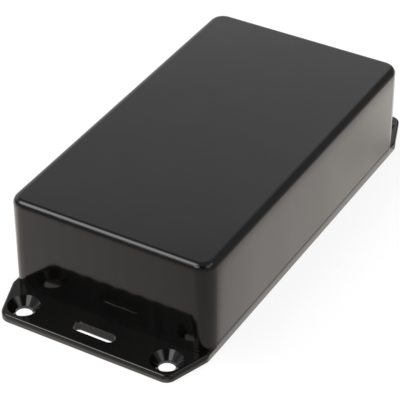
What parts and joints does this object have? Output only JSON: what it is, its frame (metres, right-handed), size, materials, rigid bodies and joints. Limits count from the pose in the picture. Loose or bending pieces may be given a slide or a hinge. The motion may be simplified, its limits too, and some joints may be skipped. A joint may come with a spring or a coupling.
{
  "type": "plastic project box",
  "caption": "Flanged wall-mount project box in gloss black plastic: a deep plain case screwed onto a lid whose end flanges carry countersunk holes and a cross slot.",
  "frame": {"origin": "middle of the mounting face, under the lid", "axes": "+X along the box through both flanges, +Y across it, +Z away from the mounting surface"},
  "size_m": [0.1388, 0.062, 0.0305],
  "materials": {
    "case_plastic": "high gloss moulded black ABS",
    "lid_plastic": "high gloss moulded black ABS",
    "screw_steel": "bright zinc plated steel",
    "insert_brass": "turned brass"
  },
  "bodies": {
    "root": {"case_shell": "case_plastic", "flanged_lid": "lid_plastic", "lid_screws": "screw_steel", "threaded_inserts": "insert_brass"}
  },
  "joints": []
}
